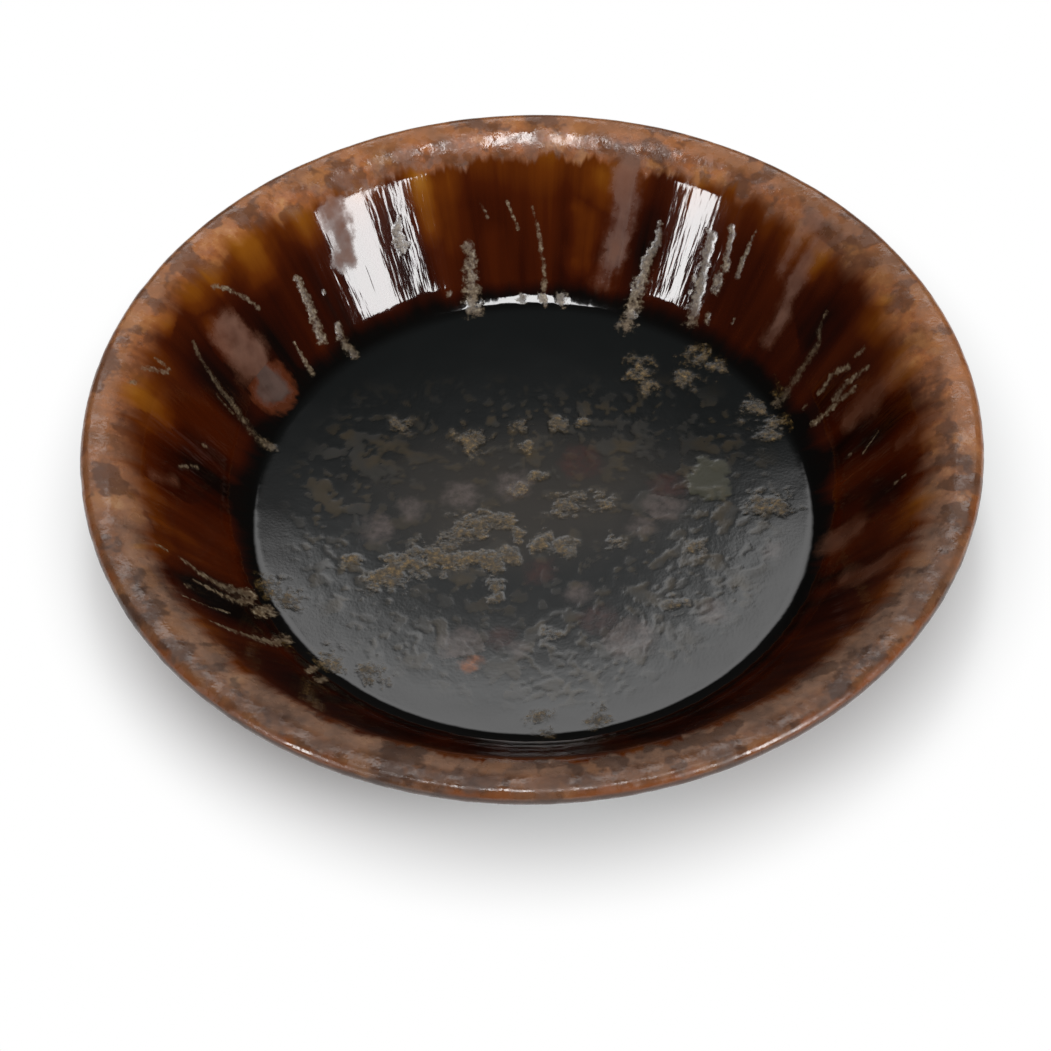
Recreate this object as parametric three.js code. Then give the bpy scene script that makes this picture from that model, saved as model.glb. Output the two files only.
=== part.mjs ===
// A shallow kitchen bowl of buff clay under a mottled brown glaze.
// The clay is one shell of even thickness, with a flared half-round lip and a turned foot ring.
// Four coats of glass lie on it: the pool on the floor, the inner wall, the rim and the outside.
// Millimetres, +Z up. The origin is the centre of the foot's resting face.
import * as THREE from "three";

// Overall sizes, measured over the glaze
const RIM_DIAMETER = 241;
const BOWL_HEIGHT = 48.4;

// Clay shell
const WALL_THICKNESS = 4.2;
const WALL_SLOPE_DEGREES = 53;
const WELL_RADIUS = 25.5;
const LIP_UNDERCUT_RADIUS = 13.4;
const FLOOR_DISH_DEGREES = 4.5;
const FLOOR_THICKNESS = 3.5;

// Foot ring
const FOOT_HEIGHT = 2.4;
const FOOT_WIDTH = 6.5;
const FOOT_SPREAD = 1.5;
const FOOT_CHAMFER = 0.6;

// Glaze coats
const POOL_DEPTH = 2.4;
const WALL_GLAZE = 0.45;
const RIM_GLAZE = 0.3;
const OUTSIDE_GLAZE = 0.5;
const POOL_EDGE_DEGREES = 36;
const RIM_BAND_DEGREES = 34;
const BARE_HEEL = 2.2;

// Each coat is fused to the clay and to the next coat, and is drawn this far from them.
const FUSED_GAP = 0.05;

// Facets: turns round the axis, and the widest turn of one facet along an arc of the profile
const TURN_SEGMENTS = 56;
const DISH_ARC_STEP = THREE.MathUtils.degToRad(1.5);
const WIDE_ARC_STEP = THREE.MathUtils.degToRad(12);
const LIP_ARC_STEP = THREE.MathUtils.degToRad(30);

// Levels and radii of the clay that follow from the sizes above
const rimGlazeReach = FUSED_GAP + RIM_GLAZE;
const dish = THREE.MathUtils.degToRad(FLOOR_DISH_DEGREES);
const slope = THREE.MathUtils.degToRad(WALL_SLOPE_DEGREES);
const poolEdge = THREE.MathUtils.degToRad(POOL_EDGE_DEGREES);
const rimBand = THREE.MathUtils.degToRad(RIM_BAND_DEGREES);
const lipRadius = WALL_THICKNESS / 2;
const flareRadius = LIP_UNDERCUT_RADIUS + WALL_THICKNESS;
const lipCentreRadius = RIM_DIAMETER / 2 - rimGlazeReach - lipRadius;
const lipTop = BOWL_HEIGHT - rimGlazeReach;
const floorMiddle = FOOT_HEIGHT + FLOOR_THICKNESS;

// The straight wall lies between the well's hollow arc and the flare's round arc, tangent to both.
// The floor is a shallow dish that runs into the well's arc. A wider floor is a deeper dish, so the
// floor's radius and the level at which the well's arc would lie flat are solved together.
const arcsRun = (WELL_RADIUS + flareRadius) * Math.sin(slope);
const arcsRise = (WELL_RADIUS + flareRadius) * (1 - Math.cos(slope));
const runAtMiddle = (lipTop - floorMiddle - arcsRise) / Math.tan(slope);
const dishRise = Math.tan(dish / 2);
const floorRadius = (lipCentreRadius - arcsRun - runAtMiddle) / (1 - dishRise / Math.tan(slope));
const floorTop = floorMiddle + floorRadius * dishRise;
const wellCentre = new THREE.Vector2(floorRadius, floorTop + WELL_RADIUS);
const dishRadius = WELL_RADIUS + floorRadius / Math.sin(dish);
const dishCentre = new THREE.Vector2(0, floorMiddle + dishRadius);
const flareCentre = new THREE.Vector2(lipCentreRadius, lipTop - flareRadius);
const lipCentre = new THREE.Vector2(lipCentreRadius, lipTop - lipRadius);
const heelRadius = WELL_RADIUS + WALL_THICKNESS;
const footOuterRadius = floorRadius + FOOT_SPREAD;
const footInnerRadius = footOuterRadius - FOOT_WIDTH;

// A station is a point (radius, height) on the clay's skin, with the unit normal out of the clay.
// The tilt of the normal is counted from straight up, positive away from the axis.
function station(radius, height, tilt) {
  const normal = new THREE.Vector2(Math.sin(tilt), Math.cos(tilt));
  return { point: new THREE.Vector2(radius, height), normal };
}

// Stations along an arc while the normal turns from one tilt to another.
// A positive bulge is a round arc of that radius, a negative one a hollow arc.
function arc(centre, bulge, fromTilt, toTilt, widestStep) {
  const steps = Math.max(1, Math.ceil(Math.abs(toTilt - fromTilt) / widestStep));
  return Array.from({ length: steps + 1 }, (_, i) => {
    const made = station(0, 0, THREE.MathUtils.lerp(fromTilt, toTilt, i / steps));
    made.point.copy(centre).addScaledVector(made.normal, bulge);
    return made;
  });
}

// The tilt at which the outside of the shell has a given radius, near the foot.
function heelTilt(radius) {
  return Math.PI - Math.asin((radius - floorRadius) / heelRadius);
}

// The clay's skin, from the middle of the floor, up over the lip and down to the foot
const floorSkin = arc(dishCentre, -dishRadius, 0, -dish, DISH_ARC_STEP);
const poolEdgeSkin = arc(wellCentre, -WELL_RADIUS, -dish, -poolEdge, WIDE_ARC_STEP);
const lowerWallSkin = arc(wellCentre, -WELL_RADIUS, -poolEdge, -slope, WIDE_ARC_STEP);
const upperWallSkin = arc(flareCentre, flareRadius, -slope, -rimBand, WIDE_ARC_STEP);
const flareSkin = arc(flareCentre, flareRadius, -rimBand, 0, WIDE_ARC_STEP);
const lipSkin = arc(lipCentre, lipRadius, 0, Math.PI, LIP_ARC_STEP);
const undercutSkin = arc(flareCentre, -LIP_UNDERCUT_RADIUS, Math.PI, Math.PI - slope, LIP_ARC_STEP);
const glazeLine = heelTilt(footOuterRadius + BARE_HEEL);
const outsideSkin = arc(wellCentre, heelRadius, Math.PI - slope, glazeLine, WIDE_ARC_STEP);
const heelSkin = arc(wellCentre, heelRadius, glazeLine, heelTilt(footOuterRadius), WIDE_ARC_STEP);

// Joins stretches of skin end to end, keeping one of each pair of stations that meet.
function join(...stretches) {
  return stretches.flatMap((stretch, i) => (i ? stretch.slice(1) : stretch));
}

// Sections (radius, height) of the foot ring and the recess inside it, down from the heel
function footSection() {
  return [
    [footOuterRadius, FOOT_CHAMFER],
    [footOuterRadius - FOOT_CHAMFER, 0],
    [footInnerRadius + FOOT_CHAMFER, 0],
    [footInnerRadius, FOOT_CHAMFER],
    [footInnerRadius, FOOT_HEIGHT],
    [0, FOOT_HEIGHT],
  ].map(([radius, height]) => new THREE.Vector2(radius, height));
}

// The pool's surface follows the dish, then turns up in a smaller arc that runs into the wall's coat.
// The smaller arc touches the pool's dish from inside, and the wall's coat at the pool's edge.
const poolReach = FUSED_GAP + POOL_DEPTH;
const wallReach = FUSED_GAP + WALL_GLAZE;
const poolDishRadius = dishRadius - poolReach;
const edgeNormal = new THREE.Vector2(-Math.sin(poolEdge), Math.cos(poolEdge));
const dishToWell = wellCentre.clone().sub(dishCentre);
const radiusGap = poolDishRadius - (WELL_RADIUS - wallReach);
const poolSlide =
  (dishToWell.lengthSq() - radiusGap ** 2) / (2 * (dishToWell.dot(edgeNormal) + radiusGap));
const poolTurnRadius = WELL_RADIUS - wallReach - poolSlide;
const poolTurnCentre = wellCentre.clone().addScaledVector(edgeNormal, -poolSlide);
const poolJoin = Math.atan2(poolTurnCentre.x, dishCentre.y - poolTurnCentre.y);
const poolSurface = join(
  arc(dishCentre, -poolDishRadius, 0, -poolJoin, DISH_ARC_STEP),
  arc(poolTurnCentre, -poolTurnRadius, -poolJoin, -poolEdge, WIDE_ARC_STEP),
);

// A coat's ends stop short of its neighbours: the end station slides along its own facet.
function trimmed(stations) {
  const slide = (end, next) => {
    const share = FUSED_GAP / 2 / end.point.distanceTo(next.point);
    return { point: end.point.clone().lerp(next.point, share), normal: end.normal };
  };
  const kept = stations.slice();
  const last = kept.length - 1;
  if (stations[0].point.x > 0) kept[0] = slide(stations[0], stations[1]);
  kept[last] = slide(stations[last], stations[last - 1]);
  return kept;
}

// The point a given height above the skin at a station
function lifted({ point, normal }, height) {
  return point.clone().addScaledVector(normal, height);
}

// The section of a coat over a stretch of skin, its thickness changing evenly along the stretch
function coatSection(skin, firstThickness, lastThickness) {
  const stations = trimmed(skin);
  const travelled = [0];
  for (let i = 1; i < stations.length; i += 1) {
    travelled.push(travelled[i - 1] + stations[i].point.distanceTo(stations[i - 1].point));
  }
  const over = stations.map((s, i) => {
    const share = travelled[i] / travelled.at(-1);
    return lifted(s, FUSED_GAP + THREE.MathUtils.lerp(firstThickness, lastThickness, share));
  });
  const under = stations.map((s) => lifted(s, FUSED_GAP));
  return [...over, ...under.reverse()];
}

// The section of the pool, between its own surface and the clay under it
function poolSection() {
  const over = trimmed(poolSurface).map(({ point }) => point);
  const under = trimmed(join(floorSkin, poolEdgeSkin)).map((s) => lifted(s, FUSED_GAP));
  return [...over, ...under.reverse()];
}

// Turns a section about the axis into a closed solid, standing along +Z.
// A section that leaves the axis free closes on itself.
function turned(name, section, colour, roughness) {
  const outline = section[0].x > 0 ? [...section, section[0]] : section;
  const geometry = new THREE.LatheGeometry(outline.slice().reverse(), TURN_SEGMENTS);
  geometry.rotateX(Math.PI / 2);
  const material = new THREE.MeshStandardMaterial({ color: colour, roughness, metalness: 0 });
  const mesh = new THREE.Mesh(geometry, material);
  mesh.name = name;
  return mesh;
}

const insideOfShell = join(floorSkin, poolEdgeSkin, lowerWallSkin);
const overTheLip = join(upperWallSkin, flareSkin, lipSkin, undercutSkin);
const outsideOfShell = join(outsideSkin, heelSkin);
const shell = [...insideOfShell, ...overTheLip, ...outsideOfShell].map(({ point }) => point);

const clayBody = turned("clay_body", [...shell, ...footSection()], 0xb99a6b, 0.85);
const floorPool = turned("floor_pool_glaze", poolSection(), 0x14110f, 0.1);
const wallGlaze = turned(
  "inner_wall_glaze",
  coatSection([...lowerWallSkin, ...upperWallSkin], WALL_GLAZE, RIM_GLAZE),
  0x4a1d08,
  0.12,
);
const rimGlaze = turned(
  "rim_glaze",
  coatSection(join(flareSkin, lipSkin), RIM_GLAZE, RIM_GLAZE),
  0x8a5634,
  0.28,
);
const outsideGlaze = turned(
  "outside_glaze",
  coatSection([...undercutSkin, ...outsideSkin], RIM_GLAZE, OUTSIDE_GLAZE),
  0x5a2c12,
  0.18,
);

const bowl = new THREE.Group();
bowl.name = "mottled_glaze_bowl";
bowl.add(clayBody, floorPool, wallGlaze, rimGlaze, outsideGlaze);

export default bowl;
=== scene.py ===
# %% [markdown]
# # A shallow bowl under a mottled brown glaze
#
# The bowl is buff clay with glass fired onto it. The clay shows only at the foot. All else that meets
# the eye is glaze: a black pool on the floor, brown runs down the wall, and a dry mottled coat on the
# lip. Five skins are turned from one profile, get the small relief that fired glaze has, and are
# painted with shader maths that follows the same profile.

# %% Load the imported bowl
import math
from collections import namedtuple

import bpy
import numpy as np
from mathutils import Matrix, Quaternion, Vector


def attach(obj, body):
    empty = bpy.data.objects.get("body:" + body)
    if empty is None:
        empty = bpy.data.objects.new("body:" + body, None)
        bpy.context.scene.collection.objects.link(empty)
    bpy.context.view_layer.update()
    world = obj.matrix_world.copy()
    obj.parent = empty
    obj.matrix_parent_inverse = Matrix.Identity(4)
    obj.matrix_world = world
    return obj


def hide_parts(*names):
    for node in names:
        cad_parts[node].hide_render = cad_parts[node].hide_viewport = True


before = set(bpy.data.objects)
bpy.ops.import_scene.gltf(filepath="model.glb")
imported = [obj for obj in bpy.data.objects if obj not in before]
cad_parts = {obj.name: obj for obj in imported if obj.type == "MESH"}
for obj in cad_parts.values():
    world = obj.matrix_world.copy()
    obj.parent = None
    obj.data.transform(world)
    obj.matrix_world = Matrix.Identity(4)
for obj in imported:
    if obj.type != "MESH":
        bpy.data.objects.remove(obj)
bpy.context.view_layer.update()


def placed(name, data):
    """An object with that data, linked into the scene."""
    made = bpy.data.objects.new(name, data)
    bpy.context.collection.objects.link(made)
    return made


print("nodes:", sorted(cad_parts))


# %% [markdown]
# ## Arithmetic on sockets
#
# Relief and colour here are sums and products of noises and distances. Clicking such sums together as
# nodes is slow to write and hard to read. One small class therefore wraps an output socket and
# overloads the operators, so that an ordinary expression adds the Math nodes by itself. A second class
# adds all other nodes. Both serve a material, the world and a Geometry Nodes group.

# %% A socket that adds and multiplies
class Wire:
    """An output socket of a node tree, for use in ordinary arithmetic."""

    def __init__(self, bench, socket):
        self.bench = bench
        self.socket = socket

    def math(self, operation, first, second=0.0):
        return self.bench.node("ShaderNodeMath", {"operation": operation}, {0: first, 1: second})

    def __add__(self, other):
        return self.math("ADD", self, other)

    def __sub__(self, other):
        return self.math("SUBTRACT", self, other)

    def __rsub__(self, other):
        return self.math("SUBTRACT", other, self)

    def __mul__(self, other):
        return self.math("MULTIPLY", self, other)

    def __truediv__(self, other):
        return self.math("DIVIDE", self, other)

    def __rtruediv__(self, other):
        return self.math("DIVIDE", other, self)

    __radd__ = __add__
    __rmul__ = __mul__


print("a socket can be added and multiplied")


# %% A bench that adds nodes
class Bench:
    """Adds nodes to one tree: a material, the world or a Geometry Nodes group."""

    def __init__(self, tree):
        self.tree = tree

    def node(self, kind, settings=None, sockets=None, out=0):
        made = self.tree.nodes.new(kind)
        for name, value in (settings or {}).items():
            if name == "stops":
                self.set_stops(made.color_ramp, value)
            else:
                setattr(made, name, value)
        for key, value in (sockets or {}).items():
            if isinstance(value, Wire):
                self.tree.links.new(value.socket, made.inputs[key])
            else:
                made.inputs[key].default_value = value
        return Wire(self, made.outputs[out]) if made.outputs else None

    def set_stops(self, ramp, stops):
        while len(ramp.elements) < len(stops):
            ramp.elements.new(1.0)
        for element, (place, colour) in zip(ramp.elements, stops):
            element.position = place
            element.color = colour

    def step(self, value, low, high):
        """0 at low and 1 at high, held level outside them, with a soft change between."""
        sockets = {0: value, 1: low, 2: high}
        return self.node("ShaderNodeMapRange", {"interpolation_type": "SMOOTHSTEP"}, sockets)

    def line(self, value, low, high, at_low, at_high):
        """A straight line from one value to another, held level outside them."""
        sockets = {0: value, 1: low, 2: high, 3: at_low, 4: at_high}
        return self.node("ShaderNodeMapRange", {}, sockets)

    def vector(self, x, y, z):
        return self.node("ShaderNodeCombineXYZ", {}, {0: x, 1: y, 2: z})

    def parts(self, vector):
        first = self.node("ShaderNodeSeparateXYZ", {}, {0: vector})
        return [Wire(self, socket) for socket in first.socket.node.outputs]

    def scaled(self, vector, factor):
        sockets = {0: vector, "Scale": factor}
        return self.node("ShaderNodeVectorMath", {"operation": "SCALE"}, sockets)

    def noise(self, place, size, detail=2.0, roughness=0.5):
        """Noise about 0, with lumps about size across in the place's own unit."""
        sockets = {"Vector": place, "Scale": 1.0 / size, "Detail": detail, "Roughness": roughness}
        return self.node("ShaderNodeTexNoise", {}, sockets) - 0.5

    def cells(self, place, size):
        """Distance to the middle of the nearest cell, in cell widths."""
        return self.node("ShaderNodeTexVoronoi", {}, {"Vector": place, "Scale": 1.0 / size})

    def mix(self, amount, first, second):
        sockets = {0: amount, 6: first, 7: second}
        return self.node("ShaderNodeMix", {"data_type": "RGBA"}, sockets, out=2)

    def blend(self, amount, first, second):
        return self.node("ShaderNodeMix", {"data_type": "FLOAT"}, {0: amount, 2: first, 3: second})

    def ramp(self, value, stops):
        return self.node("ShaderNodeValToRGB", {"stops": stops}, {0: value})


print("nodes can be added to any tree")


# %% [markdown]
# ## The camera
#
# The photograph looks down at the bowl at about 49 degrees with a long lens, so the rim is a quiet
# ellipse. The camera stands where that ellipse, the floor and the lip's thickness all agree, and is
# rolled by about one degree, as the photograph is.

# %% Stand the camera
RIM_CENTRE_HEIGHT = 0.04595
CAMERA_FROM_RIM = Vector((0.0, -0.51437, 0.59068))
CAMERA_RIGHT = Vector((0.99983, -0.01257, -0.01360))
CAMERA_BACK = Vector((0.00262, -0.63096, 0.77577))
LENS_MM = 100.11
SENSOR_MM = 36.0

camera_data = bpy.data.cameras.new("photo_camera")
camera_data.sensor_width = SENSOR_MM
camera_data.lens = LENS_MM
camera = placed("photo_camera", camera_data)
back = CAMERA_BACK.normalized()
right = (CAMERA_RIGHT - back * CAMERA_RIGHT.dot(back)).normalized()
turn = Matrix((right, back.cross(right), back)).transposed()
stand = CAMERA_FROM_RIM + Vector((0.0, 0.0, RIM_CENTRE_HEIGHT))
camera.matrix_world = Matrix.Translation(stand) @ turn.to_4x4()
bpy.context.scene.camera = camera
print("camera at", [round(value, 3) for value in camera.location])


# %% [markdown]
# ## One profile for every skin
#
# A potter's profile tool gives the whole bowl its section. Here the section is a chain of arcs, and
# each point knows three things: its radius, its height and the tilt of its normal. Straight parts need
# nothing of their own, because they are the gap between two arcs that share a tangent. The distance
# travelled along the skin from the middle of the floor, in millimetres, then says where anything is:
# the floor lies up to 82, the wall up to about 124, the lip's crest at 134, and the outside beyond.

# %% Measure the profile
WALL_SLOPE, POOL_EDGE, RIM_BAND, DISH = (math.radians(angle) for angle in (53.0, 36.0, 34.0, 4.5))
WALL_THICKNESS, FLOOR_THICKNESS, FOOT_HEIGHT = 4.2, 3.5, 2.4
WELL_RADIUS, UNDERCUT_RADIUS = 25.5, 13.4
FOOT_WIDTH, FOOT_SPREAD, BARE_HEEL = 6.5, 1.5, 2.2
POOL_REACH, WALL_REACH, RIM_REACH, OUTSIDE_REACH = 2.45, 0.5, 0.35, 0.55
RIM_RADIUS, BOWL_HEIGHT = 120.5, 48.4

LIP_RADIUS = WALL_THICKNESS / 2
FLARE_RADIUS = UNDERCUT_RADIUS + WALL_THICKNESS
HEEL_RADIUS = WELL_RADIUS + WALL_THICKNESS
LIP_CENTRE_RADIUS = RIM_RADIUS - RIM_REACH - LIP_RADIUS
LIP_TOP = BOWL_HEIGHT - RIM_REACH
FLOOR_MIDDLE = FOOT_HEIGHT + FLOOR_THICKNESS
arcs_run = (WELL_RADIUS + FLARE_RADIUS) * math.sin(WALL_SLOPE)
arcs_rise = (WELL_RADIUS + FLARE_RADIUS) * (1 - math.cos(WALL_SLOPE))
wall_run = (LIP_TOP - FLOOR_MIDDLE - arcs_rise) / math.tan(WALL_SLOPE)
dish_rise = math.tan(DISH / 2)
FLOOR_RADIUS = (LIP_CENTRE_RADIUS - arcs_run - wall_run) / (1 - dish_rise / math.tan(WALL_SLOPE))
FOOT_OUTER = FLOOR_RADIUS + FOOT_SPREAD
WELL_CENTRE = (FLOOR_RADIUS, FLOOR_MIDDLE + FLOOR_RADIUS * dish_rise + WELL_RADIUS)
FLARE_CENTRE = (LIP_CENTRE_RADIUS, LIP_TOP - FLARE_RADIUS)
LIP_CENTRE = (LIP_CENTRE_RADIUS, LIP_TOP - LIP_RADIUS)


def arc(centre, bulge, from_tilt, to_tilt, count=90):
    """Rows of radius, height and tilt. A positive bulge is a round arc, a negative one hollow."""
    tilt = np.linspace(from_tilt, to_tilt, count)
    return np.column_stack([centre[0] + bulge * np.sin(tilt), centre[1] + bulge * np.cos(tilt), tilt])


def heel_tilt(radius):
    return math.pi - math.asin((radius - FLOOR_RADIUS) / HEEL_RADIUS)


DISH_RADIUS = WELL_RADIUS + FLOOR_RADIUS / math.sin(DISH)
DISH_CENTRE = (0.0, FLOOR_MIDDLE + DISH_RADIUS)
edge_normal = np.array([-math.sin(POOL_EDGE), math.cos(POOL_EDGE)])
between = np.subtract(WELL_CENTRE, DISH_CENTRE)
wide, tight = DISH_RADIUS - POOL_REACH, WELL_RADIUS - WALL_REACH
slide = (between @ between - (wide - tight) ** 2) / 2 / (between @ edge_normal + wide - tight)
pool_turn = tight - slide
pool_centre = WELL_CENTRE - slide * edge_normal
pool_join = math.atan2(pool_centre[0], DISH_CENTRE[1] - pool_centre[1])
glaze_line = heel_tilt(FOOT_OUTER + BARE_HEEL)
stretches = [
    arc(DISH_CENTRE, -wide, 0, -pool_join),
    arc(pool_centre, -pool_turn, -pool_join, -POOL_EDGE),
    arc(WELL_CENTRE, WALL_REACH - WELL_RADIUS, -POOL_EDGE, -WALL_SLOPE),
    arc(FLARE_CENTRE, FLARE_RADIUS + RIM_REACH, -WALL_SLOPE, -RIM_BAND),
    arc(FLARE_CENTRE, FLARE_RADIUS + RIM_REACH, -RIM_BAND, 0),
    arc(LIP_CENTRE, LIP_RADIUS + RIM_REACH, 0, math.pi),
    arc(FLARE_CENTRE, RIM_REACH - UNDERCUT_RADIUS, math.pi, math.pi - WALL_SLOPE),
    arc(WELL_CENTRE, HEEL_RADIUS + OUTSIDE_REACH, math.pi - WALL_SLOPE, glaze_line),
]
SKIN = np.vstack(stretches)
TRAVEL = np.concatenate([[0.0], np.cumsum(np.hypot(*np.diff(SKIN[:, :2], axis=0).T))])
ends = TRAVEL[np.cumsum([len(stretch) for stretch in stretches]) - 1]
POOL_END, WALL_END, LIP_CREST, LIP_END, OUTSIDE_END = ends[1], ends[3], ends[4], ends[5], ends[7]


def skin(along):
    """Radius, height and tilt of the glazed skin at a distance along it."""
    return [np.interp(along, TRAVEL, SKIN[:, column]) for column in range(3)]


skin_ends = (POOL_END, WALL_END, LIP_CREST, LIP_END, OUTSIDE_END)
print("skin lengths:", [round(float(end), 1) for end in skin_ends])


# %% [markdown]
# ## Marks of the firing
#
# Runs of pale mineral crust, hazy films and amber windows, where the glaze is thin, lie at chance places
# that give this bowl its look. Each mark is laid down as a row of points on the skin, at an angle
# round the bowl, counted from the right-hand side, and a distance along the skin. A point carries its
# half width in millimetres and a strength. A crust's strength tells its kind: gold on the floor, or a
# faint or a full run on the wall. An amber mark below 0 is a patch of thicker, darker glaze. Geometry
# Nodes later ask each place on the skin for its nearest mark, which gives relief and colour the same
# ragged outline.
# A few short pale marks among the runs are painted glints, small painted highlights in crust colour.

# %% Lay out runs and films
GOLD, FAINT, FULL = 0.5, 0.8, 1.0
RUNS_AND_PAINTED_GLINTS = [
    (((133.4, 106), (133.6, 98), (134.8, 87)), 1.0, 1.6),
    (((130.3, 88), (131.0, 84), (131.2, 78)), 1.0, 1.7),
    (((140.3, 91), (140.6, 86), (141.0, 81)), 0.6, 0.9),
    (((129.9, 98.5), (130.0, 97.5)), 0.7, 0.7),
    (((112.2, 109), (113.4, 105), (113.0, 101)), 0.8, 1.9),
    (((101.2, 96.5), (101.3, 90), (101.8, 84), (102.2, 77)), 1.8, 2.8),
    (((98.0, 108.5), (97.0, 104)), 0.35, 0.45),
    (((93.5, 108.5), (91.7, 100)), 0.45, 0.5),
    (((89.2, 106.5), (88.2, 101), (87.5, 93), (86.8, 86), (86.5, 77)), 0.5, 0.8),
    (((66.5, 106.5), (66.3, 101), (67.5, 95), (67.3, 90), (68.0, 84), (67.6, 74)), 1.0, 2.5),
    # Painted glints, not crust: three short pale marks stand in for specks of a lamp's reflection.
    (((179.4, 104.5), (178.4, 102)), 0.5, 0.7),
    (((177.4, 100.4), (176.8, 98)), 0.5, 0.6),
    (((171.6, 97.6), (171.4, 96.4)), 0.6, 0.6),
    (((57.5, 108.5), (57.0, 103), (56.5, 96), (56.0, 90), (55.0, 83)), 1.4, 2.2),
    (((54.5, 113), (53.3, 106), (52.8, 101)), 1.0, 1.4),
    (((53.2, 99), (53.0, 94)), 1.2, 1.4),
    (((50.2, 115), (50.3, 108), (50.1, 101)), 0.5, 0.9),
    (((52.3, 86.5), (52.0, 85)), 0.9, 0.9),
    (((47.0, 89.5), (47.0, 88)), 0.5, 0.5),
    (((91.3, 79.8), (91.3, 79.2)), 1.5, 1.5),
    (((83.2, 80.0), (83.0, 79.0)), 1.9, 1.9),
    (((87.0, 80.2), (87.0, 79.0)), 1.4, 1.4),
    (((106.3, 84.5), (106.4, 83.5)), 0.8, 0.8),
    (((147.2, 120), (145.3, 116), (143.6, 111), (142.6, 106)), 0.8, 0.6),
    (((170.4, 126), (170.2, 125)), 0.9, 0.9),
    (((167.3, 124), (166.0, 120), (165.0, 117)), 0.8, 0.9),
    (((164.3, 122), (164.2, 117)), 0.5, 0.6),
    (((157.0, 114.5), (158.5, 107), (159.3, 100), (159.8, 92), (161.0, 85), (162.0, 77)), 0.7, 1.5, FAINT),
    (((160.8, 100), (161.1, 92)), 0.4, 0.5, FAINT),
    (((199.6, 119), (199.8, 115)), 0.7, 0.8),
    (((200.0, 110), (202.0, 102.5), (202.6, 94), (201.6, 83)), 0.8, 2.1),
    (((204.5, 108), (205.0, 99), (205.3, 92), (203.5, 84)), 0.6, 1.7),
    (((214.5, 114), (215.2, 106), (215.4, 96), (215.0, 86), (214.0, 81)), 0.7, 2.0),
    (((209.8, 119), (210.3, 108), (209.7, 99)), 0.4, 0.5),
    (((206.8, 113.5), (206.8, 112)), 1.0, 1.0),
    (((226.4, 84), (226.4, 82)), 1.5, 1.5),
    (((223.2, 83.5), (222.8, 81)), 1.5, 1.5),
    (((206.6, 85), (206.0, 80)), 1.8, 2.4),
    (((31.5, 108.5), (30.6, 103), (29.0, 100), (28.7, 94), (28.5, 88), (27.5, 79)), 0.6, 1.6, FAINT),
    (((21.0, 110.5), (21.1, 107)), 0.8, 0.7),
    (((21.0, 103), (22.5, 98), (22.2, 91)), 1.0, 0.9),
    (((22.5, 85.5), (22.5, 84.5)), 0.6, 0.6),
    (((17.8, 108.5), (18.6, 103), (19.0, 98), (18.5, 94)), 0.7, 1.3),
    (((16.8, 102), (17.5, 94), (18.2, 84)), 0.9, 0.9),
    # Painted glints, not crust: two short pale marks stand in for specks of a lamp's reflection.
    (((5.8, 104), (4.2, 97)), 0.35, 0.4),
    (((6.1, 92.4), (6.0, 91.6)), 0.7, 0.7),
    (((-6.6, 112.5), (-7.0, 108)), 0.4, 0.5),
]
HAZY_FILMS = [
    (((150.4, 109), (149.8, 97)), 5.4, 7.6, 0.84),
    (((149.8, 88), (150.0, 86)), 6.8, 6.8, 1.0),
    (((73.6, 119), (73.2, 105), (74.0, 95), (75.2, 86)), 4.2, 2.6, 0.84),
    (((40.0, 121), (39.4, 104), (38.4, 90)), 3.4, 2.2, 0.84),
    (((122.4, 117.5), (122.8, 112), (123.6, 104)), 4.4, 3.6, 0.9),
    (((13.0, 118), (12.0, 105), (12.5, 95)), 4.0, 3.4, 0.5),
    (((-11.5, 95), (-11.5, 84)), 3.6, 4.6, 0.5),
    (((-24.0, 116), (-25.0, 105), (-23.0, 95)), 4.0, 3.4, 0.5),
    (((43.0, 125), (43.0, 110)), 3.4, 2.4, 0.7),
    (((185.0, 115), (183.0, 106)), 2.0, 1.6, 0.6),
    (((1.0, 124), (0.5, 112)), 3.0, 2.4, 0.5),
]
print("runs and films:", len(RUNS_AND_PAINTED_GLINTS), len(HAZY_FILMS))


# %% Lay out the amber windows
AMBER_WINDOWS = [
    (((138.5, 127), (138.5, 113)), 4.6, 4.0, 1.0),
    (((128.0, 124), (128.0, 115)), 5.0, 4.0, 0.6),
    (((108.0, 118), (107.5, 104)), 3.0, 3.4, 0.8),
    (((103.0, 114), (102.0, 100)), 4.0, 4.0, 0.4),
    (((96.5, 97), (96.0, 86)), 3.6, 3.6, 0.36),
    (((78.6, 105), (79.0, 91)), 4.0, 4.0, 1.0),
    (((12.0, 123), (12.0, 114)), 3.4, 3.0, 0.7),
    (((-15.0, 119), (-17.0, 111)), 4.0, 4.0, 0.5),
    (((152.5, 112), (153.0, 105)), 3.0, 2.6, 0.75),
    (((171.5, 126), (172.5, 112)), 4.4, 4.0, 0.75),
    (((176.0, 118), (175.0, 109)), 3.0, 3.0, 0.5),
    (((190.0, 114), (191.0, 98), (189.0, 89)), 9.0, 8.0, 0.44),
    (((67.0, 118), (67.5, 98)), 4.0, 4.0, -0.5),
    (((58.0, 118), (57.0, 92)), 6.0, 6.0, -0.5),
    (((157.0, 118), (157.5, 96)), 5.0, 5.0, -0.2),
    (((5.0, 120), (4.5, 100)), 3.0, 3.0, -0.5),
]
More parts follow.
